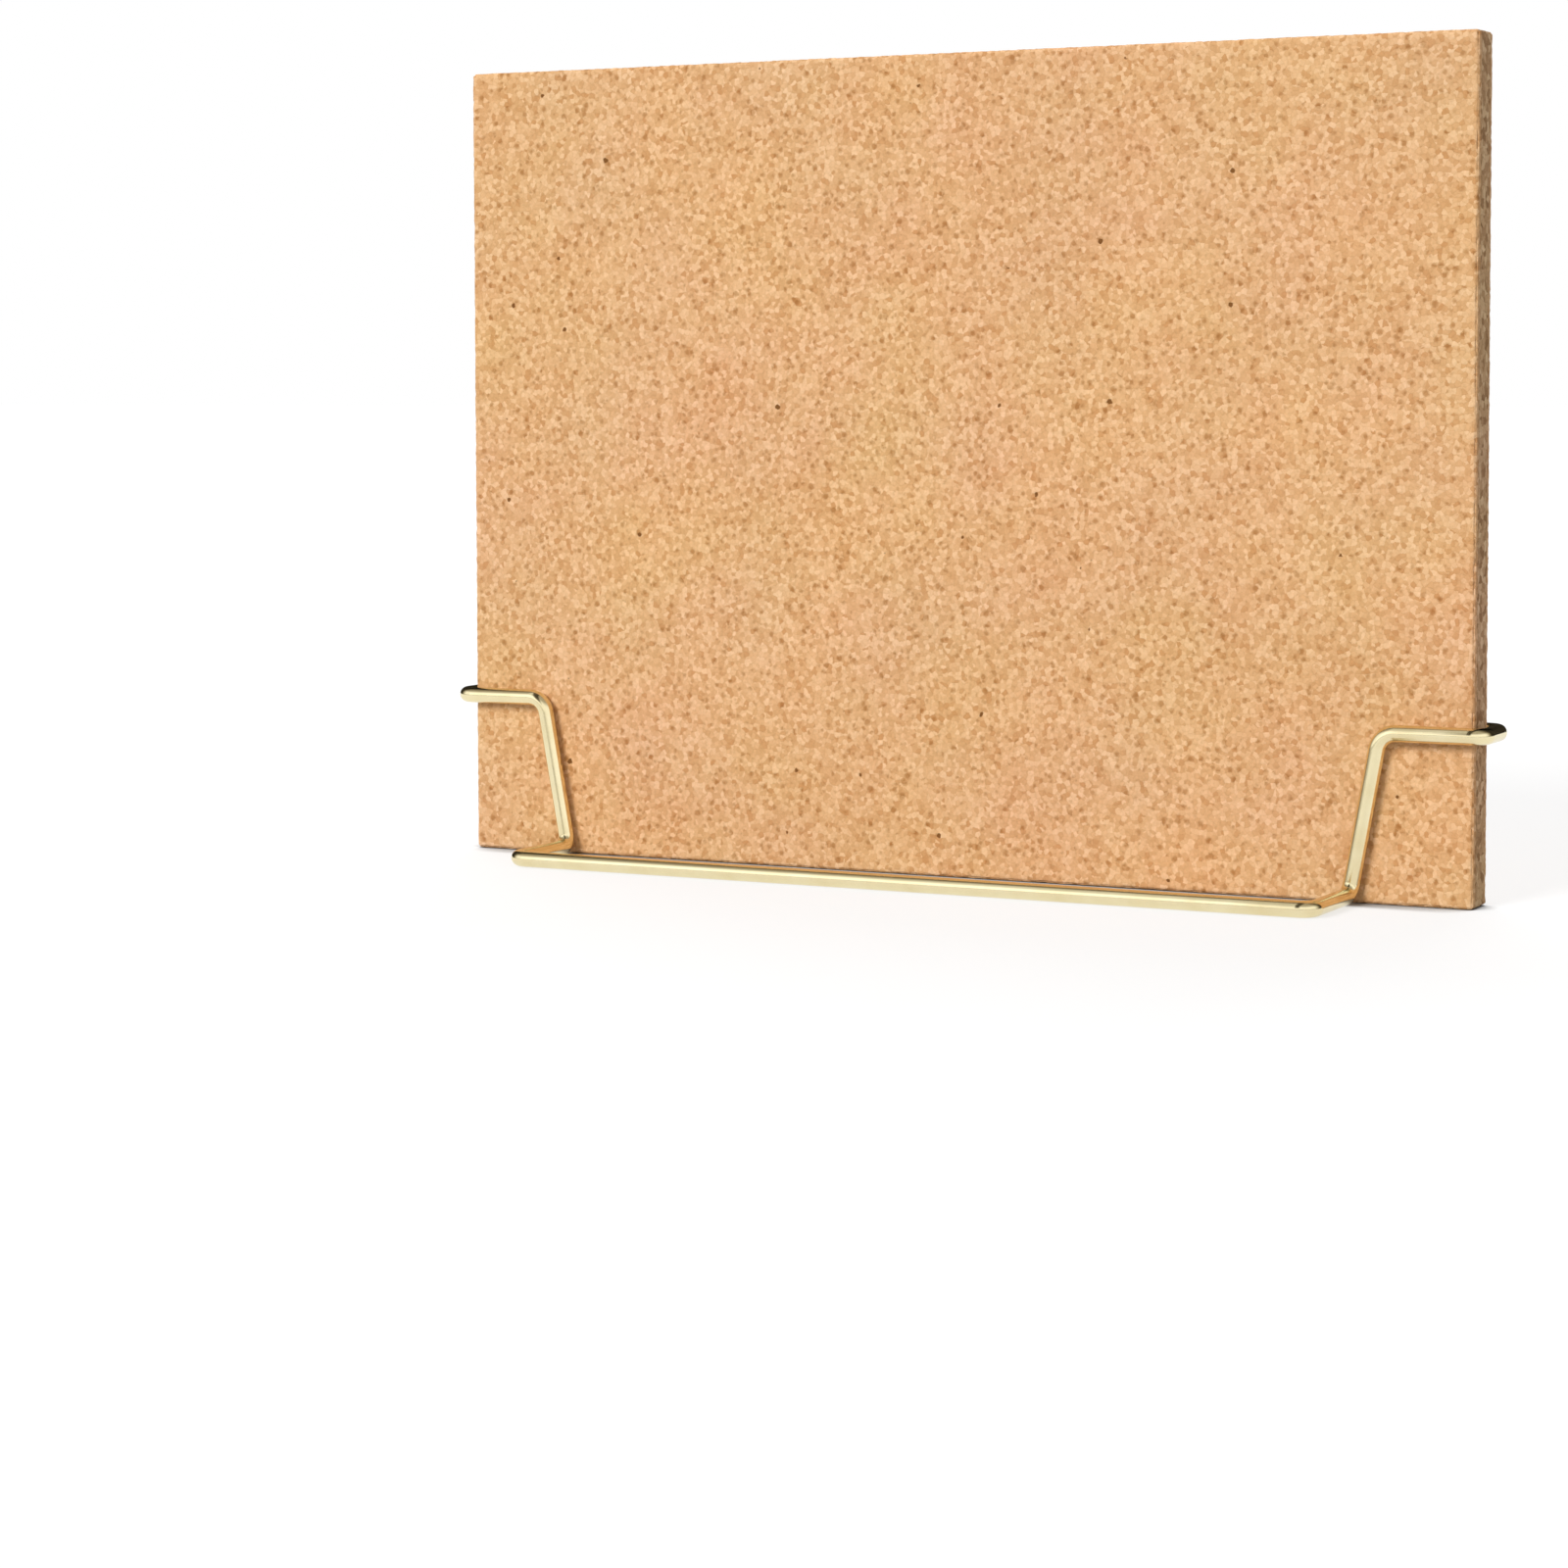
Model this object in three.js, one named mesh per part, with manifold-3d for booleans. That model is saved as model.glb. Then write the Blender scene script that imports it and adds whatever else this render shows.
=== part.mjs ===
// Desktop cork board: a plain cork slab, 400 mm wide and 300 mm tall, that stands on the table inside
// one closed loop of bent wire. The wire lies on the table in front of the slab and behind it, climbs
// both faces close to each side, and wraps round the slab's two side edges, so that the slab lifts
// straight out. Millimetres, +Z up, +X to the right, and -Y towards the person who looks at the board.
// The origin is on the table, under the middle of the slab.

import * as THREE from 'three';
import { mergeVertices } from 'three/addons/utils/BufferGeometryUtils.js';
import Module from 'manifold-3d';

// Sizes of the cork slab
const boardWidth = 400;
const boardHeight = 300;
const faceSheetThickness = 3; // fine-grained cork that takes the pins, one sheet on each side
const coreThickness = 10; // coarse cork between the two sheets
const boardCornerRadius = 1.5; // the slab's four corners, as seen from the front
const edgeRound = 1; // sanded edge all round both faces

// Sizes of the wire stand, all to the middle of the wire unless a line says otherwise
const wireDiameter = 6;
const bendRadius = 5; // at the feet and round the slab's edges
const shoulderRadius = 7; // where a leg turns into an arm
const footReach = 43; // from the slab's face out to the foot bar
const armHeight = 60; // above the table
const armLength = 36.5; // from the top of the leg out to the wrap round the slab's edge
const legLean = THREE.MathUtils.degToRad(10.5); // the legs spread outwards as they climb
const corkClearance = 0.3; // free space between the wire and the slab's faces

// Counts of facets
const wireSides = 20;
const stepsPerBend = 8;
const stepsPerRound = 4;

const cuttingOverrun = 5; // how far the cutting blocks reach past the slab

// Sizes that follow from those above
const wireRadius = wireDiameter / 2;
const boardThickness = coreThickness + 2 * faceSheetThickness;
const faceY = boardThickness / 2;
const wireY = faceY + corkClearance + wireRadius; // legs and arms, beside the slab's face
const footY = faceY + footReach;
const wrapX = boardWidth / 2 + Math.max(bendRadius - edgeRound, wireRadius + corkClearance);
const legTopX = wrapX - armLength;
const legFootX = legTopX - (armHeight - wireRadius) * Math.tan(legLean);

const corkFace = new THREE.MeshStandardMaterial({ color: 0xdfad77, roughness: 0.9, metalness: 0 });
const corkCore = new THREE.MeshStandardMaterial({ color: 0xb98f63, roughness: 0.95, metalness: 0 });
const brassPlating = new THREE.MeshStandardMaterial({ color: 0xe6cf9a, roughness: 0.18, metalness: 1 });

const wasm = await Module();
wasm.setup();

// Leaves only positions, with the vertices that faces share merged
function welded(geometry) {
  const bare = geometry.clone();
  bare.deleteAttribute('normal');
  bare.deleteAttribute('uv');
  return mergeVertices(bare);
}

function toSolid(geometry) {
  const { attributes, index } = welded(geometry);
  return new wasm.Manifold(new wasm.Mesh({
    numProp: 3,
    vertProperties: new Float32Array(attributes.position.array),
    triVerts: new Uint32Array(index.array),
  }));
}

function toGeometry(solid) {
  const { vertProperties, triVerts } = solid.getMesh();
  const geometry = new THREE.BufferGeometry();
  geometry.setAttribute('position', new THREE.BufferAttribute(vertProperties, 3));
  geometry.setIndex(new THREE.BufferAttribute(triVerts, 1));
  return geometry;
}

function namedMesh(name, geometry, material) {
  const mesh = new THREE.Mesh(geometry, material);
  mesh.name = name;
  geometry.computeVertexNormals();
  return mesh;
}

// The slab's outline from the front, standing on the line y = 0
function slabOutline() {
  const left = -boardWidth / 2;
  const right = boardWidth / 2;
  const radius = boardCornerRadius;
  const quarter = Math.PI / 2;
  const outline = new THREE.Shape();
  outline.absarc(right - radius, radius, radius, -quarter, 0);
  outline.absarc(right - radius, boardHeight - radius, radius, 0, quarter);
  outline.absarc(left + radius, boardHeight - radius, radius, quarter, 2 * quarter);
  outline.absarc(left + radius, radius, radius, 2 * quarter, 3 * quarter);
  outline.closePath();
  return outline;
}

// The whole glued slab with its sanded edges, upright and centred on y = 0
function slabSolid() {
  const slab = new THREE.ExtrudeGeometry(slabOutline(), {
    depth: boardThickness - 2 * edgeRound,
    curveSegments: stepsPerRound,
    bevelThickness: edgeRound,
    bevelSize: edgeRound,
    bevelOffset: -edgeRound,
    bevelSegments: stepsPerRound,
  });
  slab.rotateX(Math.PI / 2);
  slab.translate(0, faceY - edgeRound, 0);
  return toSolid(slab);
}

// One layer of the slab, between two distances from its middle plane
function layer(slab, fromY, toY) {
  const block = new THREE.BoxGeometry(
    boardWidth + 2 * cuttingOverrun,
    toY - fromY,
    boardHeight + 2 * cuttingOverrun,
  );
  block.translate(0, (fromY + toY) / 2, boardHeight / 2);
  return toGeometry(slab.intersect(toSolid(block)));
}

function corkBoard() {
  const slab = slabSolid();
  const coreY = coreThickness / 2;
  const outsideY = faceY + cuttingOverrun;
  const board = new THREE.Group();
  board.add(
    namedMesh('front_cork_sheet', layer(slab, -outsideY, -coreY), corkFace),
    namedMesh('core_board', layer(slab, -coreY, coreY), corkCore),
    namedMesh('rear_cork_sheet', layer(slab, coreY, outsideY), corkFace.clone()),
  );
  return board;
}

// The middle line of a rod bent to a closed loop: straight runs joined by round bends. It has a
// station halfway along its closing run, and equal steps round each bend.
class BentLoop extends THREE.Curve {
  constructor(corners, steps) {
    super();
    const first = corners[0].at;
    const last = corners.at(-1).at;
    this.stations = [{
      point: last.clone().lerp(first, 0.5),
      tangent: first.clone().sub(last).normalize(),
    }];
    corners.forEach(({ at, radius }, i) => {
      this.addBend(corners.at(i - 1).at, at, corners[(i + 1) % corners.length].at, radius, steps);
    });
  }

  addBend(before, corner, after, radius, steps) {
    const along = corner.clone().sub(before).normalize();
    const away = after.clone().sub(corner).normalize();
    const turn = along.angleTo(away);
    const axis = along.clone().cross(away).normalize();
    const start = corner.clone().addScaledVector(along, -radius * Math.tan(turn / 2));
    const centre = start.clone().addScaledVector(axis.clone().cross(along), radius);
    for (let step = 0; step <= steps; step++) {
      const tangent = along.clone().applyAxisAngle(axis, turn * step / steps);
      const inward = axis.clone().cross(tangent);
      this.stations.push({ point: centre.clone().addScaledVector(inward, -radius), tangent });
    }
  }

  stationAt(share) {
    return this.stations[Math.round(share * this.stations.length) % this.stations.length];
  }

  getPointAt(share, target = new THREE.Vector3()) {
    return target.copy(this.stationAt(share).point);
  }

  getTangentAt(share, target = new THREE.Vector3()) {
    return target.copy(this.stationAt(share).tangent);
  }
}

// The corners of the wire's middle line, each with the radius of its bend. One quarter is set out,
// behind the slab on its right side, and the other three mirror it, so that the front and the back
// of the stand are alike.
function wireCorners() {
  const quarter = [
    { at: new THREE.Vector3(legFootX, footY, wireRadius), radius: bendRadius },
    { at: new THREE.Vector3(legFootX, wireY, wireRadius), radius: bendRadius },
    { at: new THREE.Vector3(legTopX, wireY, armHeight), radius: shoulderRadius },
    { at: new THREE.Vector3(wrapX, wireY, armHeight), radius: bendRadius },
  ];
  const mirrored = (corners, alongX, alongY) => corners.map(({ at, radius }) => (
    { at: at.clone().multiply(new THREE.Vector3(alongX, alongY, 1)), radius }
  ));
  return [
    ...quarter,
    ...mirrored(quarter, 1, -1).reverse(),
    ...mirrored(quarter, -1, -1),
    ...mirrored(quarter, -1, 1).reverse(),
  ];
}

// The stand: the wire starts and ends at a butt weld, halfway along the rear foot bar
function wireStand() {
  const loop = new BentLoop(wireCorners(), stepsPerBend);
  const rod = new THREE.TubeGeometry(loop, loop.stations.length, wireRadius, wireSides, true);
  return namedMesh('wire_stand', welded(rod), brassPlating);
}

const deskBoard = new THREE.Group();
deskBoard.add(wireStand(), corkBoard());

export default deskBoard;
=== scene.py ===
import math

import bmesh
import bpy
from mathutils import Euler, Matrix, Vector


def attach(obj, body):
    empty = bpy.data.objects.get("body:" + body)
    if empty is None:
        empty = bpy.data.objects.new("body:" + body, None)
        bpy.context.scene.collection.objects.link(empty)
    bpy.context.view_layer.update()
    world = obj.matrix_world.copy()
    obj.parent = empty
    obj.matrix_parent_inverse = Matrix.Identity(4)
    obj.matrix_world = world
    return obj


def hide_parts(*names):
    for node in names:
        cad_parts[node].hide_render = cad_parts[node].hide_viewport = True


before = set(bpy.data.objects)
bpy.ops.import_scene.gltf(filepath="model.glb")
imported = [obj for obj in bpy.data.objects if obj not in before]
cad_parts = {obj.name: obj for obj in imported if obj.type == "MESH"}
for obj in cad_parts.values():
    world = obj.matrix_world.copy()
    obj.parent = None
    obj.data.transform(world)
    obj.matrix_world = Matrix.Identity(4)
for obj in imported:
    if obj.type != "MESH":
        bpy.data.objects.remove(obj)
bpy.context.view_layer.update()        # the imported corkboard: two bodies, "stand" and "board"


def tone(code):
    # "rrggbb" in sRGB, turned to the linear colour that the nodes expect
    channels = [int(code[i:i + 2], 16) / 255 for i in (0, 2, 4)]
    return [c / 12.92 if c <= 0.04045 else ((c + 0.055) / 1.055) ** 2.4 for c in channels] + [1.0]


def addNode(tree, kind, feeds=None, stops=None, **settings):
    # settings go on the node itself; feeds: socket -> a value to set, or another node's output to link
    # from; stops: (place, colour) along the node's colour ramp
    node = tree.nodes.new(kind)
    for key, value in settings.items():
        setattr(node, key, value)
    for key, value in (feeds or {}).items():
        if isinstance(value, bpy.types.NodeSocket):
            tree.links.new(value, node.inputs[key])
        else:
            node.inputs[key].default_value = value
    if stops:
        ramp = node.color_ramp.elements
        while len(ramp) < len(stops):
            ramp.new(0.5)
        for element, (spot, code) in zip(ramp, stops):
            element.position = spot
            element.color = tone(code)
    return node


def newTree(name, inputs):
    # a Geometry Nodes tree with named inputs; gives back the tree, its two ends and the identifiers
    tree = bpy.data.node_groups.new(name, "GeometryNodeTree")
    tree.interface.new_socket("Geometry", in_out="OUTPUT", socket_type="NodeSocketGeometry")
    tree.interface.new_socket("Geometry", in_out="INPUT", socket_type="NodeSocketGeometry")
    keys = {}
    for label, kind in inputs.items():
        keys[label] = tree.interface.new_socket(label, in_out="INPUT", socket_type=kind).identifier
    return tree, tree.nodes.new("NodeGroupInput"), tree.nodes.new("NodeGroupOutput"), keys


def applyTree(piece, tree, keys, values):
    # sets the inputs, then keeps the evaluated result as a plain mesh
    modifier = piece.modifiers.new(tree.name, "NODES")
    modifier.node_group = tree
    for label, value in values.items():
        modifier[keys[label]] = value
    graph = bpy.context.evaluated_depsgraph_get()
    made = bpy.data.meshes.new_from_object(piece.evaluated_get(graph), depsgraph=graph)
    piece.modifiers.remove(modifier)
    piece.data = made
    made.name = piece.name


def emptyTree(owner):
    # the node tree of a material or a world, with nothing in it yet
    owner.use_nodes = True
    owner.node_tree.nodes.clear()
    return owner.node_tree


def newPiece(name, data):
    piece = bpy.data.objects.new(name, data)
    bpy.context.scene.collection.objects.link(piece)
    return piece


def shellPiece(name, shell):
    # faces turned outward, the quads smooth and the flat ends not
    bmesh.ops.recalc_face_normals(shell, faces=shell.faces[:])
    for face in shell.faces:
        face.smooth = len(face.verts) == 4
    mesh = bpy.data.meshes.new(name)
    shell.to_mesh(mesh)
    shell.free()
    return newPiece(name, mesh)


# the camera stands right of the board at pin height; a small part of the framing is lens shift
cameraView = {
    "place": (0.58318, -1.26500, 0.18279),
    "turnLeft": 27.277, "tiltDown": 3.288, "roll": -0.143,  # degrees
    "lens": 87.276, "sensor": 36.0,                         # millimetres
    "shift": -0.12,           # of the frame's width
    "farthest": 50.0,
}
cameraData = bpy.data.cameras.new("camera")
cameraData.lens = cameraView["lens"]
cameraData.sensor_width = cameraView["sensor"]
cameraData.shift_y = cameraView["shift"]
cameraData.clip_end = cameraView["farthest"]
camera = newPiece("camera", cameraData)
camera.location = cameraView["place"]
turn = Euler((0, 0, math.radians(cameraView["turnLeft"]))).to_matrix()
tilt = Euler((math.radians(90 - cameraView["tiltDown"]), 0, 0)).to_matrix()
lean = Euler((0, 0, math.radians(cameraView["roll"]))).to_matrix()
camera.rotation_euler = (turn @ tilt @ lean).to_euler()
bpy.context.scene.camera = camera
bpy.context.scene.view_settings.view_transform = "Standard"
print("camera placed")


# the studio: white paper underfoot, and soft daylight from the front, a little left and high
studio = {
    # each lamp: name, direction towards it, strength, spread in degrees
    "lamps": [("keyLamp", (-0.25, -0.84, 0.49), 2.16, 24.0),
              ("rearLamp", (-0.42, 0.72, 0.55), 1.7, 60.0)],
    "ambient": 0.48,
    "floorHalf": 20.0, "floorDrop": 0.0001,                 # metres
    "floorThrows": "a9a9a9",                                # grey, as the object receives its light
    "floorSeen": "a2a2a2", "floorLift": 0.66,               # white, as the camera and the metal see it
    # the paper's white glow is cut back at the slab's foot as painted shade: how far off the paper looks
    # for cover, how open it is in the painted shade and out of it, and how far from the slab's middle it
    # goes in Y
    "shadeReach": 0.04, "shadeRays": 16,
    "shadeFull": 0.40, "shadeNone": 0.75,
    "shadeNear": 0.011, "shadeFar": 0.020,
    # a dark beam overhead, from the front to the top, and a tall bright window left of it: turn and width
    # in degrees, how softly they end, and their level
    "beamTurn": -6.0, "beamWidth": 20.0, "beamEdge": 0.03, "beamTone": 0.12,
    "boxTurn": -28.0, "boxWidth": 20.0, "boxInner": 0.04, "boxOuter": 0.06, "boxGlow": 0.30,
    "warmAbove": "f6e4c4",                                  # the colour of the dimmer parts
}

world = bpy.data.worlds.new("studioWorld")
bpy.context.scene.world = world
sky = emptyTree(world)
aim = addNode(sky, "ShaderNodeTexCoord").outputs["Generated"]
path = addNode(sky, "ShaderNodeLightPath").outputs

# what the metal mirrors: bright in front, dimmer high up and where the paper ends, dark behind
beamTurn, boxTurn = math.radians(studio["beamTurn"]), math.radians(studio["boxTurn"])
halfBeam, halfBox = (math.sin(math.radians(studio[key] / 2)) for key in ("beamWidth", "boxWidth"))
skyParts = {
    # name: direction, from and to along it, level before and after, whether both ways are alike
    "front": ((0.22, -0.97, 0.0), -0.40, 0.34, 0.03, 1.05, False),
    "top": ((0.0, 0.0, 1.0), 0.42, 0.76, 1.15, 0.48, False),
    "skyline": ((0.0, 0.0, 1.0), 0.02, 0.10, 0.35, 1.0, True),
    "underBeam": ((0.0, 0.0, 1.0), 0.25, 0.45, 1.0, 0.0, False),
    "besideBeam": ((math.cos(beamTurn), math.sin(beamTurn), 0.0), halfBeam - studio["beamEdge"],
                   halfBeam + studio["beamEdge"], studio["beamTone"], 1.0, True),
    "window": ((math.cos(boxTurn), math.sin(boxTurn), 0.0), halfBox - studio["boxInner"],
               halfBox + studio["boxOuter"], studio["boxGlow"], 0.0, True),
}
level = {}
for name, (axis, low, high, before, after, bothWays) in skyParts.items():
    along = addNode(sky, "ShaderNodeVectorMath", {0: aim, 1: axis},
                    operation="DOT_PRODUCT").outputs["Value"]
    if bothWays:
        along = addNode(sky, "ShaderNodeMath", {0: along}, operation="ABSOLUTE").outputs[0]
    level[name] = addNode(sky, "ShaderNodeMapRange", {"Value": along, "From Min": low, "From Max": high,
                                                      "To Min": before, "To Max": after},
                          interpolation_type="SMOOTHSTEP").outputs[0]
lights = addNode(sky, "ShaderNodeMath", {0: level["top"], 1: level["window"]}, operation="ADD")
clear = addNode(sky, "ShaderNodeMath", {0: level["underBeam"], 1: level["besideBeam"]},
                operation="MAXIMUM")
beamed = addNode(sky, "ShaderNodeMath", {0: lights.outputs[0], 1: clear.outputs[0]},
                 operation="MULTIPLY")
fronted = addNode(sky, "ShaderNodeMath", {0: beamed.outputs[0], 1: level["front"]}, operation="MULTIPLY")
mirrorLevel = addNode(sky, "ShaderNodeMath", {0: fronted.outputs[0], 1: level["skyline"]},
                      operation="MULTIPLY")
# a colour mix takes its share at socket 0 and its colours at 6 and 7
warmth = addNode(sky, "ShaderNodeMix", {0: mirrorLevel.outputs[0], 6: tone(studio["warmAbove"]),
                                        7: tone("ffffff")}, data_type="RGBA")
lit = addNode(sky, "ShaderNodeBackground", {"Color": tone("ffffff"), "Strength": studio["ambient"]})
mirrored = addNode(sky, "ShaderNodeBackground", {"Color": warmth.outputs[2],
                                                 "Strength": mirrorLevel.outputs[0]})
seen = addNode(sky, "ShaderNodeBackground", {"Color": tone("ffffff"), "Strength": 1.0})
glossy = addNode(sky, "ShaderNodeMath", {0: path["Is Glossy Ray"], 1: path["Is Transmission Ray"]},
                 operation="MAXIMUM")
forMetal = addNode(sky, "ShaderNodeMixShader", {0: glossy.outputs[0], 1: lit.outputs[0],
                                                2: mirrored.outputs[0]})
forCamera = addNode(sky, "ShaderNodeMixShader", {0: path["Is Camera Ray"], 1: forMetal.outputs[0],
                                                 2: seen.outputs[0]})
addNode(sky, "ShaderNodeOutputWorld", {"Surface": forCamera.outputs[0]})

# uncoated white paper from the roll, matt all over, so nothing mirrors in it; to the object it is
# greyer than it looks, which keeps the cork and the metal from washing out
paper = bpy.data.materials.new("mattWhitePaper")
sweep = emptyTree(paper)
path = addNode(sweep, "ShaderNodeLightPath").outputs
throws = addNode(sweep, "ShaderNodeBsdfDiffuse", {"Color": tone(studio["floorThrows"])})
shows = addNode(sweep, "ShaderNodeBsdfDiffuse", {"Color": tone(studio["floorSeen"])})
# painted shade: within a band in Y about the slab's foot, the paper's white glow is dimmed by how closed
# in it is; the diffuse paper beneath still takes its real shadow
place = addNode(sweep, "ShaderNodeTexCoord").outputs["Object"]
depth = addNode(sweep, "ShaderNodeSeparateXYZ", {0: place}).outputs["Y"]
beside = addNode(sweep, "ShaderNodeMath", {0: depth}, operation="ABSOLUTE")
apart = addNode(sweep, "ShaderNodeMapRange", {"Value": beside.outputs[0], "From Min": studio["shadeNear"],
                                              "From Max": studio["shadeFar"]},
                interpolation_type="SMOOTHSTEP")
around = addNode(sweep, "ShaderNodeAmbientOcclusion", {"Distance": studio["shadeReach"]},
                 samples=studio["shadeRays"])
openness = addNode(sweep, "ShaderNodeMapRange", {"Value": around.outputs["AO"],
                                                 "From Min": studio["shadeFull"],
                                                 "From Max": studio["shadeNone"]})
glowLeftByPaintedShade = addNode(sweep, "ShaderNodeMath", {0: apart.outputs[0], 1: openness.outputs[0]},
                operation="MAXIMUM")
glow = addNode(sweep, "ShaderNodeMath", {0: glowLeftByPaintedShade.outputs[0], 1: studio["floorLift"]},
               operation="MULTIPLY")
lift = addNode(sweep, "ShaderNodeEmission", {"Color": tone("ffffff"), "Strength": glow.outputs[0]})
bright = addNode(sweep, "ShaderNodeAddShader", {0: shows.outputs[0], 1: lift.outputs[0]})
looking = addNode(sweep, "ShaderNodeMath", {0: path["Is Camera Ray"], 1: path["Is Glossy Ray"]},
                  operation="MAXIMUM")
paperMix = addNode(sweep, "ShaderNodeMixShader", {0: looking.outputs[0], 1: throws.outputs[0],
                                                  2: bright.outputs[0]})
addNode(sweep, "ShaderNodeOutputMaterial", {"Surface": paperMix.outputs[0]})

floorMesh = bpy.data.meshes.new("floor")
half, drop = studio["floorHalf"], studio["floorDrop"]
floorMesh.from_pydata([(-half, -half, -drop), (half, -half, -drop), (half, half, -drop),
                       (-half, half, -drop)], [], [(0, 1, 2, 3)])
floorMesh.materials.append(paper)
floor = newPiece("floor", floorMesh)

for name, source, strength, spread in studio["lamps"]:
    lamp = newPiece(name, bpy.data.lights.new(name, "SUN"))
    lamp.data.energy = strength
    lamp.data.angle = math.radians(spread)
    lamp.rotation_euler = Vector(source).to_track_quat("Z", "Y").to_euler()
    lamp.visible_glossy = False    # the metal sees the lamps in the sky above instead
print("studio lit")


def granules(tree, place, cork):
    # the pressed granules as one field, shared by the relief and by the colour so that they agree
    drift = addNode(tree, "ShaderNodeTexNoise",
                    {"Vector": place, "Scale": 1 / cork["warpSize"], "Detail": cork["noiseDetail"],
                     "Roughness": cork["noiseRough"]})
    centred = addNode(tree, "ShaderNodeVectorMath", {0: drift.outputs[1], 1: (0.5, 0.5, 0.5)},
                      operation="SUBTRACT")
    pushed = addNode(tree, "ShaderNodeVectorMath", {0: centred.outputs[0], "Scale": cork["warpDepth"]},
                     operation="SCALE")
    bent = addNode(tree, "ShaderNodeVectorMath", {0: place, 1: pushed.outputs[0]},
                   operation="ADD").outputs[0]
    scale = 1 / cork["granule"]
    cells = addNode(tree, "ShaderNodeTexVoronoi", {"Vector": bent, "Scale": scale}, feature="F1")
    walls = addNode(tree, "ShaderNodeTexVoronoi", {"Vector": bent, "Scale": scale},
                    feature="DISTANCE_TO_EDGE")
    # the pattern's own cell colours run in rows, so each chance is drawn afresh from them
    luck = addNode(tree, "ShaderNodeTexWhiteNoise", {"Vector": cells.outputs["Color"]},
                   noise_dimensions="3D")
    chance = addNode(tree, "ShaderNodeSeparateXYZ", {0: luck.outputs["Color"]})
    gap = addNode(tree, "ShaderNodeMapRange", {"Value": walls.outputs["Distance"], "From Min": 0.0,
                                               "From Max": cork["gapWidth"],
                                               "To Min": 1.0, "To Max": 0.0},
                  interpolation_type="SMOOTHSTEP")
    field = {"chance": chance.outputs["X"], "rise": chance.outputs["Y"], "gap": gap.outputs[0]}
    # round bits of bark in the mass, drawn from a few of the cells of a coarser pattern: many brown
    # specks, and now and then a dark fleck
    for bit in ("speck", "fleck"):
        bits = addNode(tree, "ShaderNodeTexVoronoi", {"Vector": bent, "Scale": 1 / cork[bit + "Spacing"]},
                       feature="F1")
        luck = addNode(tree, "ShaderNodeTexWhiteNoise", {"Vector": bits.outputs["Color"]},
                       noise_dimensions="3D")
        most = cork[bit + "Size"] / cork[bit + "Spacing"]
        reach = addNode(tree, "ShaderNodeMapRange", {"Value": luck.outputs["Value"],
                                                     "From Min": cork[bit + "Rare"], "From Max": 1.0,
                                                     "To Min": 0.0, "To Max": most})
        fade = addNode(tree, "ShaderNodeMath", {0: reach.outputs[0], 1: bits.outputs["Distance"]},
                       operation="SUBTRACT")
        rim = cork[bit + "Soft"] / cork[bit + "Spacing"]
        field[bit] = addNode(tree, "ShaderNodeMapRange", {"Value": fade.outputs[0], "From Min": 0.0,
                                                          "From Max": rim},
                             interpolation_type="SMOOTHSTEP").outputs[0]
    return field


faceCork = {
    "granule": 0.00175,       # pressed granules of 1 to 2 mm
    "warpSize": 0.0015, "warpDepth": 0.0014,
    "noiseDetail": 3.0, "noiseRough": 0.55, "crumbRough": 0.6,
    "noiseLow": 0.3, "noiseHigh": 0.7,                      # the span that a noise really fills
    "gapWidth": 0.10,         # of a granule
    # spacing, the share of the places left empty, size and soft rim
    "speckSpacing": 0.0027, "speckRare": 0.10, "speckSize": 0.0017, "speckSoft": 0.0011,
    "fleckSpacing": 0.0055, "fleckRare": 0.945, "fleckSize": 0.0012, "fleckSoft": 0.00016,
    "shades": [(0.0, "d39b66"), (0.15, "dca976"), (0.45, "e6b583"), (0.75, "edbf8f"), (1.0, "f5c99b")],
    "fleckShade": "84572d",
    # what the colour is multiplied by, from and to; the blue drops most, as wood browns
    "gapTint": ((1.0, 1.0, 1.0), (0.93, 0.90, 0.85)),
    "speckTint": ((1.0, 1.0, 1.0), (0.70, 0.60, 0.475)),
    "crumb": 0.0013,          # crumbs inside a granule
    "crumbTint": ((0.93, 0.92, 0.905), (1.065, 1.07, 1.085)),
    "patch": 0.060,           # slow drift of tone and warmth over the sheet
    "patchTint": ((0.975, 0.970, 0.946), (1.025, 1.030, 1.054)),
    "roughLow": 0.72, "roughHigh": 0.92,
    "specular": 0.25,         # dry and full of pores, so hardly any sheen
    "seamDepth": 0.5,         # how deep a glue line lies, against the crumbs' own height
    "bumpStrength": 0.8, "bumpDepth": 0.00012,
}
coreCork = dict(faceCork)
coreCork.update({
    "granule": 0.0026,        # the middle is pressed from coarser granules
    "speckSpacing": 0.0040, "speckSize": 0.0016,
    "fleckSpacing": 0.0060, "fleckRare": 0.80, "fleckSize": 0.0020,
    "shades": [(0.0, "a0764c"), (0.18, "bb9066"), (0.45, "cfa57a"), (0.75, "deb68a"), (1.0, "efcba0")],
    "gapTint": ((1.0, 1.0, 1.0), (0.82, 0.78, 0.74)),
})


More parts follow.
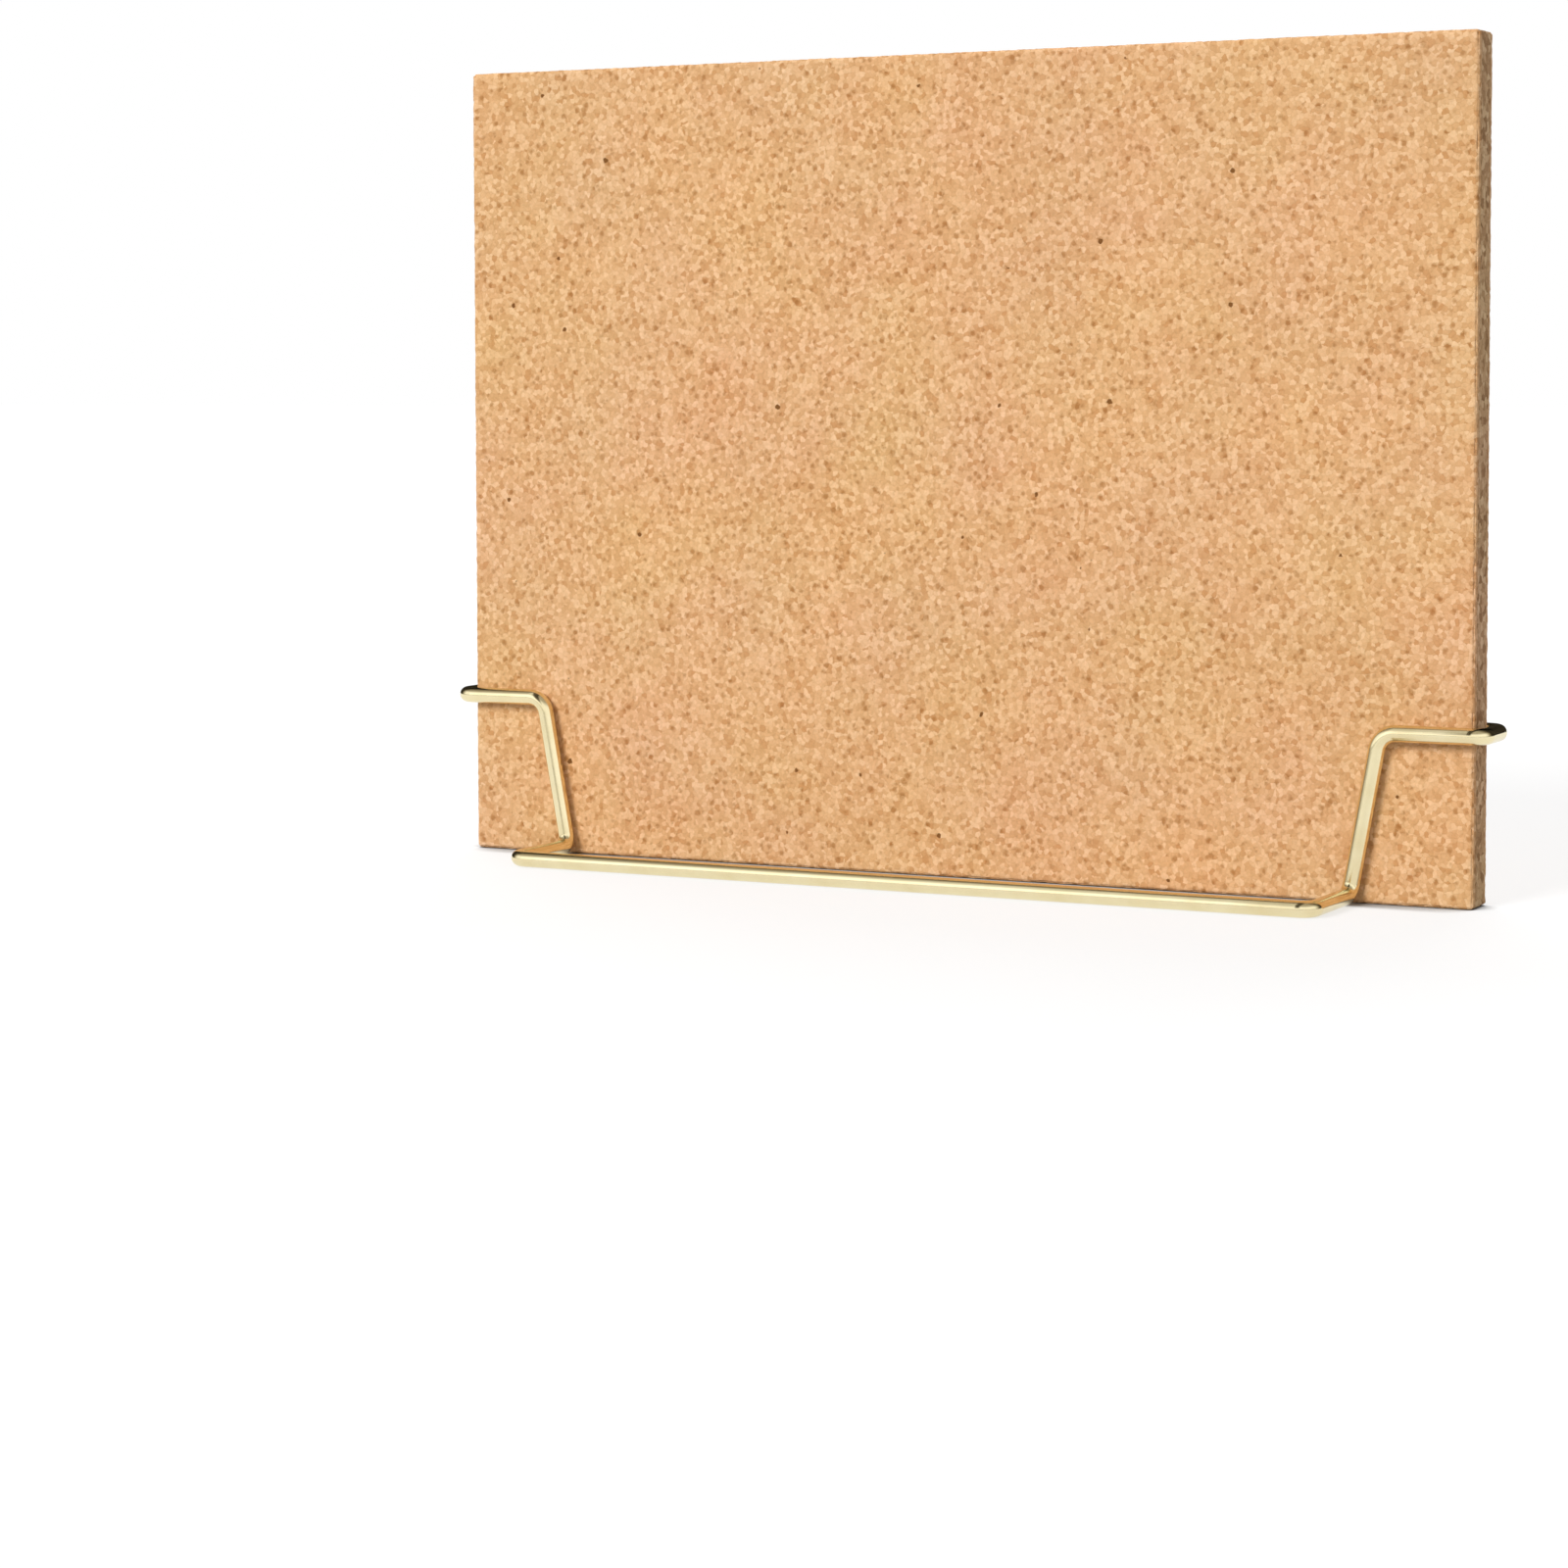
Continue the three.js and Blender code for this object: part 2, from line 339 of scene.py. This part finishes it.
def corkMaterial(name, cork):
    # agglomerated cork: granules glued, pressed and sanded flat; matt, with light and dark
    # granules, brown glue lines between them, many soft brown specks and a few flecks of bark
    material = bpy.data.materials.new(name)
    tree = emptyTree(material)
    place = addNode(tree, "ShaderNodeTexCoord").outputs["Object"]
    field = granules(tree, place, cork)
    shade = addNode(tree, "ShaderNodeValToRGB", {0: field["chance"]}, cork["shades"])
    crumbs = addNode(tree, "ShaderNodeTexNoise", {"Vector": place, "Scale": 1 / cork["crumb"],
                                                  "Detail": cork["noiseDetail"],
                                                  "Roughness": cork["crumbRough"]})
    patches = addNode(tree, "ShaderNodeTexNoise", {"Vector": place, "Scale": 1 / cork["patch"],
                                                   "Detail": cork["noiseDetail"],
                                                   "Roughness": cork["noiseRough"]})
    colour = shade.outputs[0]
    tints = {
        # tint: how much of it, and the span of that amount
        "crumbTint": (crumbs.outputs[0], cork["noiseLow"], cork["noiseHigh"]),
        "patchTint": (patches.outputs[1], cork["noiseLow"], cork["noiseHigh"]),
        "gapTint": (field["gap"], 0.0, 1.0),
        "speckTint": (field["speck"], 0.0, 1.0),
    }
    for key, (amount, low, high) in tints.items():
        before, after = cork[key]
        # sockets 6 to 10 are the vector forms of Value, From Min, From Max, To Min and To Max
        tint = addNode(tree, "ShaderNodeMapRange", {6: amount, 7: (low,) * 3, 8: (high,) * 3,
                                                    9: before, 10: after}, data_type="FLOAT_VECTOR")
        colour = addNode(tree, "ShaderNodeVectorMath", {0: colour, 1: tint.outputs[1]},
                         operation="MULTIPLY").outputs[0]
    mixed = addNode(tree, "ShaderNodeMix", {0: field["fleck"], 6: colour,
                                            7: tone(cork["fleckShade"])}, data_type="RGBA")
    rough = addNode(tree, "ShaderNodeMapRange", {"Value": crumbs.outputs[0], "From Min": cork["noiseLow"],
                                                 "From Max": cork["noiseHigh"],
                                                 "To Min": cork["roughHigh"], "To Max": cork["roughLow"]})
    seam = addNode(tree, "ShaderNodeMath", {0: field["gap"], 1: cork["seamDepth"]}, operation="MULTIPLY")
    grit = addNode(tree, "ShaderNodeMath", {0: crumbs.outputs[0], 1: seam.outputs[0]},
                   operation="SUBTRACT")
    bump = addNode(tree, "ShaderNodeBump", {"Height": grit.outputs[0], "Strength": cork["bumpStrength"],
                                            "Distance": cork["bumpDepth"]})
    surface = addNode(tree, "ShaderNodeBsdfPrincipled", {"Base Color": mixed.outputs[2],
                                                         "Roughness": rough.outputs[0],
                                                         "Normal": bump.outputs[0],
                                                         "Specular IOR Level": cork["specular"]})
    addNode(tree, "ShaderNodeOutputMaterial", {"Surface": surface.outputs[0]})
    return material


slab = {
    "halfWidth": 0.2, "halfThickness": 0.008, "height": 0.3,
    "glueLine": 0.005,        # the facing sheets meet the core at this depth either side of the middle
    "edgeRound": 0.0012,
    "easeSteps": (0.0, 0.3, 0.62, 1.0),                     # mesh lines round an edge, as shares of it
    "spacing": 0.0012,        # of the mesh lines that carry the relief
    "coreBands": 9,           # rows of faces across the core's edge
    "arris": 0.71,            # the largest part of the outward direction on the middle of a rounded edge
    # where the arris has crumbled: the size of a bite, the span of the noise and the least depth's share
    "biteSize": 0.0042, "biteDetail": 2.0, "biteRough": 0.55,
    "biteLow": 0.42, "biteHigh": 0.72, "biteLeast": 0.08,
}
relief = {
    # the relief tree's inputs by name, with how far each thing sinks the skin in metres
    "Edge round": slab["edgeRound"],
    "Low": (-slab["halfWidth"], -slab["halfThickness"], 0.0),
    "High": (slab["halfWidth"], slab["halfThickness"], slab["height"]),
    "Granule depth": 0.00016,
    "Gap depth": 0.00014,
    "Pit depth": 0.00045,
    "Crumble depth": 0.0008,
}


def reliefTree(name, cork, material):
    # sinks each point of the slab's skin by the granules there, never outwards
    tree, given, end, keys = newTree(name, {
        "Edge round": "NodeSocketFloat", "Low": "NodeSocketVector", "High": "NodeSocketVector",
        "Granule depth": "NodeSocketFloat", "Gap depth": "NodeSocketFloat",
        "Pit depth": "NodeSocketFloat", "Crumble depth": "NodeSocketFloat"})
    place = addNode(tree, "GeometryNodeInputPosition").outputs[0]
    margin = addNode(tree, "ShaderNodeCombineXYZ",
                     {axis: given.outputs["Edge round"] for axis in range(3)})
    low = addNode(tree, "ShaderNodeVectorMath", {0: given.outputs["Low"], 1: margin.outputs[0]},
                  operation="ADD")
    high = addNode(tree, "ShaderNodeVectorMath", {0: given.outputs["High"], 1: margin.outputs[0]},
                   operation="SUBTRACT")
    floored = addNode(tree, "ShaderNodeVectorMath", {0: place, 1: low.outputs[0]}, operation="MAXIMUM")
    inner = addNode(tree, "ShaderNodeVectorMath", {0: floored.outputs[0], 1: high.outputs[0]},
                    operation="MINIMUM")
    away = addNode(tree, "ShaderNodeVectorMath", {0: place, 1: inner.outputs[0]}, operation="SUBTRACT")
    outward = addNode(tree, "ShaderNodeVectorMath", {0: away.outputs[0]}, operation="NORMALIZE")
    field = granules(tree, place, cork)

    # how much of an edge a point is: 0 on a flat face, 1 on the arris
    sizes = addNode(tree, "ShaderNodeVectorMath", {0: outward.outputs[0]}, operation="ABSOLUTE")
    split = addNode(tree, "ShaderNodeSeparateXYZ", {0: sizes.outputs[0]})
    bigger = addNode(tree, "ShaderNodeMath", {0: split.outputs[0], 1: split.outputs[1]},
                     operation="MAXIMUM")
    biggest = addNode(tree, "ShaderNodeMath", {0: bigger.outputs[0], 1: split.outputs[2]},
                      operation="MAXIMUM")
    arris = addNode(tree, "ShaderNodeMapRange", {"Value": biggest.outputs[0], "From Min": 1.0,
                                                 "From Max": slab["arris"], "To Min": 0.0, "To Max": 1.0})
    bites = addNode(tree, "ShaderNodeTexNoise", {"Vector": place, "Scale": 1 / slab["biteSize"],
                                                 "Detail": slab["biteDetail"],
                                                 "Roughness": slab["biteRough"]})
    bite = addNode(tree, "ShaderNodeMapRange", {"Value": bites.outputs[0], "From Min": slab["biteLow"],
                                                "From Max": slab["biteHigh"],
                                                "To Min": slab["biteLeast"], "To Max": 1.0})
    crumble = addNode(tree, "ShaderNodeMath", {0: arris.outputs[0], 1: bite.outputs[0]},
                      operation="MULTIPLY")

    total = None
    for amount, depth in ((field["rise"], "Granule depth"), (field["gap"], "Gap depth"),
                          (field["fleck"], "Pit depth"), (crumble.outputs[0], "Crumble depth")):
        step = addNode(tree, "ShaderNodeMath", {0: amount, 1: given.outputs[depth]}, operation="MULTIPLY")
        if total:
            step = addNode(tree, "ShaderNodeMath", {0: total, 1: step.outputs[0]}, operation="ADD")
        total = step.outputs[0]
    inwards = addNode(tree, "ShaderNodeMath", {0: total, 1: -1.0}, operation="MULTIPLY")
    offset = addNode(tree, "ShaderNodeVectorMath", {0: outward.outputs[0], "Scale": inwards.outputs[0]},
                     operation="SCALE")
    moved = addNode(tree, "GeometryNodeSetPosition", {"Geometry": given.outputs["Geometry"],
                                                      "Offset": offset.outputs[0]})
    real = addNode(tree, "GeometryNodeRealizeInstances", {0: moved.outputs[0]})
    done = addNode(tree, "GeometryNodeSetMaterial", {"Geometry": real.outputs[0], "Material": material})
    tree.links.new(done.outputs[0], end.inputs[0])
    return tree, keys


def spacedLines(low, high):
    # mesh lines across the slab, closer together round the eased edges
    ease = [slab["edgeRound"] * step for step in slab["easeSteps"]]
    span = high - low - 2 * slab["edgeRound"]
    count = round(span / slab["spacing"])
    middle = [low + slab["edgeRound"] + span * k / count for k in range(1, count)]
    return [low + e for e in ease] + middle + [high - e for e in reversed(ease)]


def eased(point):
    # a point on the sharp slab, drawn in to its rounded edges
    reach = slab["edgeRound"]
    low = (-slab["halfWidth"] + reach, -slab["halfThickness"] + reach, reach)
    high = (slab["halfWidth"] - reach, slab["halfThickness"] - reach, slab["height"] - reach)
    inner = Vector(min(max(v, a), b) for v, a, b in zip(point, low, high))
    away = Vector(point) - inner
    return inner + away.normalized() * reach


def plyPiece(name, faceDepths, rowDepths):
    # a layer of the slab: a fine skin where it is seen and flat where it is glued
    xs = spacedLines(-slab["halfWidth"], slab["halfWidth"])
    zs = spacedLines(0.0, slab["height"])
    ring = [(x, zs[0]) for x in xs[:-1]] + [(xs[-1], z) for z in zs[:-1]]
    ring += [(x, zs[-1]) for x in reversed(xs[1:])] + [(xs[0], z) for z in reversed(zs[1:])]
    shell = bmesh.new()
    loops = []
    for depth in rowDepths:
        loops.append([shell.verts.new(eased((x, depth, z))) for x, z in ring])
    for near, far in zip(loops, loops[1:]):
        for k in range(len(ring)):
            n = (k + 1) % len(ring)
            shell.faces.new((near[k], near[n], far[n], far[k]))
    for depth, loop in ((rowDepths[0], loops[0]), (rowDepths[-1], loops[-1])):
        if depth not in faceDepths:
            shell.faces.new(loop)
            continue
        rim = dict(zip(ring, loop))
        grid = [[rim.get((x, z)) or shell.verts.new(eased((x, depth, z))) for x in xs] for z in zs]
        for lower, upper in zip(grid, grid[1:]):
            for k in range(len(xs) - 1):
                shell.faces.new((lower[k], lower[k + 1], upper[k + 1], upper[k]))
    return shellPiece(name, shell)


corkFace = corkMaterial("agglomeratedCorkFace", faceCork)
corkCore = corkMaterial("agglomeratedCorkCore", coreCork)
halfThickness, glueLine, edgeRound = slab["halfThickness"], slab["glueLine"], slab["edgeRound"]
sheetRows = [halfThickness - edgeRound * step for step in slab["easeSteps"]]
sheetRows += [(sheetRows[-1] + glueLine) / 2, glueLine]
coreRows = [-glueLine + 2 * glueLine * k / slab["coreBands"] for k in range(slab["coreBands"] + 1)]
plies = {
    # piece: replaced node, slot, seen faces, rows of its edge, cork, material
    "frontCork": ("front_cork_sheet", "front_cork", [-halfThickness], [-row for row in sheetRows],
                  faceCork, corkFace),
    "rearCork": ("rear_cork_sheet", "rear_cork", [halfThickness], sheetRows, faceCork, corkFace),
    "coreCork": ("core_board", "core_cork", [], coreRows, coreCork, corkCore),
}
for name, (node, slotName, seenFaces, rows, cork, material) in plies.items():
    ply = plyPiece(name, seenFaces, rows)
    tree, keys = reliefTree(name + "Relief", cork, material)
    applyTree(ply, tree, keys, relief)
    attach(ply, "board")
    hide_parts(node)
print("cork plies pressed and sanded")


wire = {
    "radius": 0.00297,        # 6 mm wire, a hair under, so that its facets stay inside the real round
    "bend": 0.005,            # at the feet and round the slab's edges
    "shoulder": 0.007,        # from the legs into the arms
    "sides": 48, "bendSteps": 16,
    # where the wire's middle runs: the foot bars, the run along the slab's faces, the arms' height,
    # the legs' tops and the wraps
    "footY": 0.051, "footZ": 0.003,
    "wireY": 0.0113,
    "armZ": 0.060,
    "legTopX": 0.1675,
    "wrapX": 0.204,
    "lean": 10.5,             # degrees
    "weldHalf": 0.0004,       # half the fused joint, where the wire's two ends meet behind the slab
}
legRise = wire["armZ"] - wire["footZ"]
wire["legFootX"] = wire["legTopX"] - legRise * math.tan(math.radians(wire["lean"]))

plating = {
    "colour": "ede1b9", "dull": "e6d7aa",
    "cloudSize": 0.012, "cloudDetail": 4.0,                 # where the lacquer lies thicker
    "cloudLow": 0.35, "cloudHigh": 0.75,
    "roughLow": 0.10, "roughHigh": 0.20,
    "unevenLow": 0.12, "unevenHigh": 0.42,                  # the span of clouds times draw lines
    "lineWidth": 0.00035, "lineLength": 0.030, "lineDetail": 3.0,
    "lineStrength": 0.6, "lineDepth": 0.000004,
}
weldPlating = dict(plating)
weldPlating.update({"colour": "e2cd9c", "dull": "d3ba84", "roughLow": 0.24, "roughHigh": 0.38})


def brassPlating(name, coat):
    # bright drawn steel wire, lacquered pale brass: a clear soft shine, with faint draw lines
    # along the wire and a slightly uneven gloss where the lacquer lies thicker
    material = bpy.data.materials.new(name)
    tree = emptyTree(material)
    along = addNode(tree, "ShaderNodeAttribute", attribute_name="drawnLength", attribute_type="GEOMETRY")
    lines = addNode(tree, "ShaderNodeMapping", {"Vector": along.outputs["Vector"],
                                                "Scale": (1 / coat["lineLength"], 1 / coat["lineWidth"],
                                                          1 / coat["lineWidth"])})
    drawn = addNode(tree, "ShaderNodeTexNoise", {"Vector": lines.outputs[0], "Scale": 1.0,
                                                 "Detail": coat["lineDetail"]})
    place = addNode(tree, "ShaderNodeTexCoord").outputs["Object"]
    clouds = addNode(tree, "ShaderNodeTexNoise", {"Vector": place, "Scale": 1 / coat["cloudSize"],
                                                  "Detail": coat["cloudDetail"]})
    blend = addNode(tree, "ShaderNodeMapRange", {"Value": clouds.outputs[0], "From Min": coat["cloudLow"],
                                                 "From Max": coat["cloudHigh"]})
    tint = addNode(tree, "ShaderNodeMix", {0: blend.outputs[0], 6: tone(coat["colour"]),
                                           7: tone(coat["dull"])}, data_type="RGBA")
    both = addNode(tree, "ShaderNodeMath", {0: clouds.outputs[0], 1: drawn.outputs[0]},
                   operation="MULTIPLY")
    rough = addNode(tree, "ShaderNodeMapRange", {"Value": both.outputs[0], "From Min": coat["unevenLow"],
                                                 "From Max": coat["unevenHigh"],
                                                 "To Min": coat["roughLow"], "To Max": coat["roughHigh"]})
    bump = addNode(tree, "ShaderNodeBump", {"Height": drawn.outputs[0], "Strength": coat["lineStrength"],
                                            "Distance": coat["lineDepth"]})
    surface = addNode(tree, "ShaderNodeBsdfPrincipled", {"Base Color": tint.outputs[2], "Metallic": 1.0,
                                                         "Roughness": rough.outputs[0],
                                                         "Normal": bump.outputs[0]})
    addNode(tree, "ShaderNodeOutputMaterial", {"Surface": surface.outputs[0]})
    return material


def wireCorners():
    # the sharp corners of the closed loop and their bends, from the weld behind round to the weld again
    foot, shoulder = wire["bend"], wire["shoulder"]
    quarter = [(wire["legFootX"], wire["footY"], wire["footZ"], foot),
               (wire["legFootX"], wire["wireY"], wire["footZ"], foot),
               (wire["legTopX"], wire["wireY"], wire["armZ"], shoulder),
               (wire["wrapX"], wire["wireY"], wire["armZ"], foot)]
    back = list(reversed(quarter))
    loop = [(wire["weldHalf"], wire["footY"], wire["footZ"], 0.0)]
    loop += quarter
    loop += [(x, -y, z, bend) for x, y, z, bend in back]
    loop += [(-x, -y, z, bend) for x, y, z, bend in quarter]
    loop += [(-x, y, z, bend) for x, y, z, bend in back]
    loop += [(-wire["weldHalf"], wire["footY"], wire["footZ"], 0.0)]
    return loop


def wireTree(name, material):
    # rounds the corners, sweeps a round section along them and stores the length drawn and the place
    # on the section, for the draw lines
    tree, given, end, keys = newTree(name, {"Wire radius": "NodeSocketFloat", "Sides": "NodeSocketInt",
                                            "Bend steps": "NodeSocketInt"})
    bend = addNode(tree, "GeometryNodeInputNamedAttribute", {"Name": "bend"}, data_type="FLOAT")
    rail = addNode(tree, "GeometryNodeMeshToCurve", {0: given.outputs["Geometry"]})
    bent = addNode(tree, "GeometryNodeFilletCurve", {"Curve": rail.outputs[0], "Radius": bend.outputs[0],
                                                     "Count": given.outputs["Bend steps"]}, mode="POLY")
    run = addNode(tree, "GeometryNodeSplineParameter")
    marked = addNode(tree, "GeometryNodeCaptureAttribute", domain="POINT")
    marked.capture_items.new("FLOAT", "length")
    tree.links.new(bent.outputs[0], marked.inputs["Geometry"])
    tree.links.new(run.outputs["Length"], marked.inputs[1])
    section = addNode(tree, "GeometryNodeCurvePrimitiveCircle", {"Resolution": given.outputs["Sides"],
                                                                 "Radius": given.outputs["Wire radius"]})
    spot = addNode(tree, "GeometryNodeInputPosition")
    placed = addNode(tree, "GeometryNodeCaptureAttribute", domain="POINT")
    placed.capture_items.new("VECTOR", "spot")
    tree.links.new(section.outputs[0], placed.inputs["Geometry"])
    tree.links.new(spot.outputs[0], placed.inputs[1])
    swept = addNode(tree, "GeometryNodeCurveToMesh", {"Curve": marked.outputs[0],
                                                      "Profile Curve": placed.outputs[0]})
    split = addNode(tree, "ShaderNodeSeparateXYZ", {0: placed.outputs[1]})
    drawn = addNode(tree, "ShaderNodeCombineXYZ", {0: marked.outputs[1], 1: split.outputs[0],
                                                   2: split.outputs[1]})
    stored = addNode(tree, "GeometryNodeStoreNamedAttribute", {"Geometry": swept.outputs[0],
                                                               "Name": "drawnLength",
                                                               "Value": drawn.outputs[0]},
                     data_type="FLOAT_VECTOR", domain="POINT")
    smooth = addNode(tree, "GeometryNodeSetShadeSmooth", {"Geometry": stored.outputs[0]})
    real = addNode(tree, "GeometryNodeRealizeInstances", {0: smooth.outputs[0]})
    done = addNode(tree, "GeometryNodeSetMaterial", {"Geometry": real.outputs[0], "Material": material})
    tree.links.new(done.outputs[0], end.inputs[0])
    return tree, keys


brass = brassPlating("brassPlatedWire", plating)
corners = wireCorners()
railMesh = bpy.data.meshes.new("wireLoop")
railMesh.from_pydata([corner[:3] for corner in corners],
                     [(k, (k + 1) % len(corners)) for k in range(len(corners))], [])
bends = railMesh.attributes.new("bend", "FLOAT", "POINT")
for k, corner in enumerate(corners):
    bends.data[k].value = corner[3]
wireLoop = newPiece("wireLoop", railMesh)
tree, keys = wireTree("bentWire", brass)
applyTree(wireLoop, tree, keys, {"Wire radius": wire["radius"], "Sides": wire["sides"],
                                 "Bend steps": wire["bendSteps"]})
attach(wireLoop, "stand")
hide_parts("wire_stand")
print("wire bent, faces:", len(wireLoop.data.polygons))


weld = {
    # a little up and in from the bar's own middle, so that it stays off the table and in the CAD box
    "centre": (0.0, 0.05088, 0.00312),
    "halfWidth": 0.0013,
    "root": 0.00285, "crest": 0.00306,      # radius at the bead's rims and at its middle
    "rows": 14, "sides": 48,
    "ripple": 0.00005,        # unevenness left by the grinding
    "even": 0.5, "waves": ((0.3, 3, 4), (0.2, 7, -5)),      # its waves: share, turns round and slant
}


def weldBead(name):
    # a low ring of weld round the foot bar, ground nearly flush before the plating
    bead = bmesh.new()
    rings = []
    for k in range(weld["rows"] + 1):
        across = 2 * k / weld["rows"] - 1
        swell = math.sqrt(max(0.0, 1 - across * across))
        ring = []
        for n in range(weld["sides"]):
            turn = 2 * math.pi * n / weld["sides"]
            uneven = weld["even"]
            for glowLeftByPaintedShade, turns, slant in weld["waves"]:
                uneven += glowLeftByPaintedShade * math.sin(turns * turn + slant * across)
            reach = weld["root"] + (weld["crest"] - weld["root"] - weld["ripple"] * uneven) * swell
            spot = (across * weld["halfWidth"], math.cos(turn) * reach, math.sin(turn) * reach)
            ring.append(bead.verts.new(Vector(spot) + Vector(weld["centre"])))
        rings.append(ring)
    for near, far in zip(rings, rings[1:]):
        for n in range(weld["sides"]):
            m = (n + 1) % weld["sides"]
            bead.faces.new((near[n], near[m], far[m], far[n]))
    bead.faces.new(rings[0])
    bead.faces.new(rings[-1])
    return shellPiece(name, bead)


bead = weldBead("weldBead")
bead.data.materials.append(brassPlating("brassPlatedWeld", weldPlating))
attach(bead, "stand")
print("weld bead laid")
